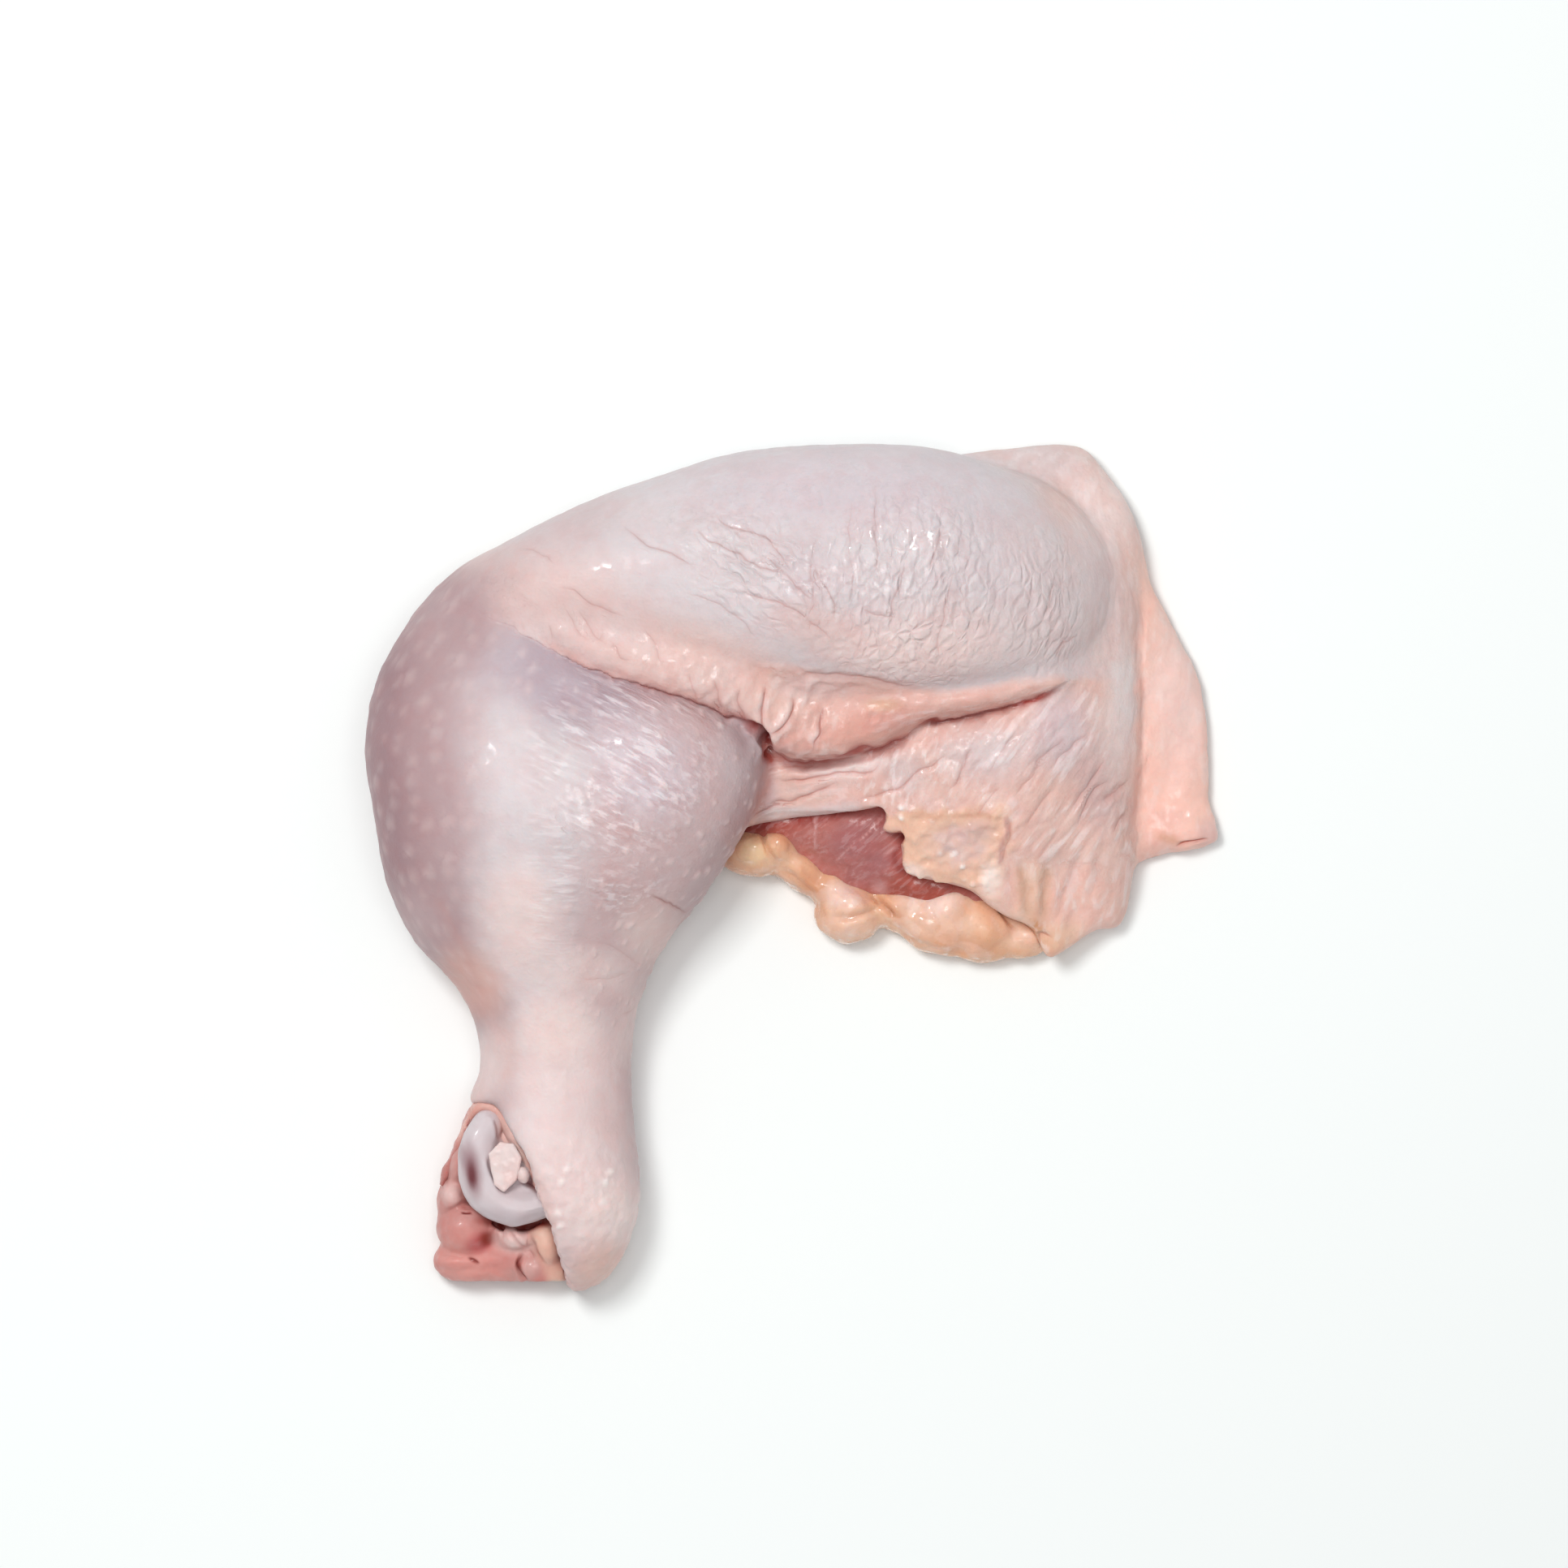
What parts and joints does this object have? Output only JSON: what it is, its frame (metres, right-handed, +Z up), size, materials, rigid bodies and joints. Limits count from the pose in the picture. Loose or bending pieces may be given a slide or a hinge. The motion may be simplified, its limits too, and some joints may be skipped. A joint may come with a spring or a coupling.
{
  "type": "chicken leg quarter",
  "caption": "Raw chicken leg quarter, thigh and drumstick in one bent piece with its skin on, lying skin side up with bare meat, fat and the cut hock joint showing.",
  "frame": {"origin": "middle of the footprint, on the surface that the leg lies on", "axes": "+Z up, +X along the thigh from the knee to its back end, +Y away from the shank, so the drumstick points to -Y"},
  "size_m": [0.1586, 0.1573, 0.0459],
  "materials": {
    "raw_skin": "moist raw poultry skin, pale pink and mauve, satin with small wet glints",
    "raw_meat": "moist raw muscle, dusky red, glossy",
    "raw_fat": "soft yellow fat in lobes, moist satin",
    "cartilage": "smooth grey-white joint cartilage, glossy",
    "cut_tissue": "cut joint tissue, pink to dark red, wet",
    "cartilage_white": "white cut cartilage, matt"
  },
  "bodies": {
    "root": {"skin_leg": "raw_skin", "thigh_meat": "raw_meat", "fat_lobes": "raw_fat", "shin_bone": "cartilage", "hock_tissue": "cut_tissue", "cartilage_chip": "cartilage_white"}
  },
  "joints": []
}
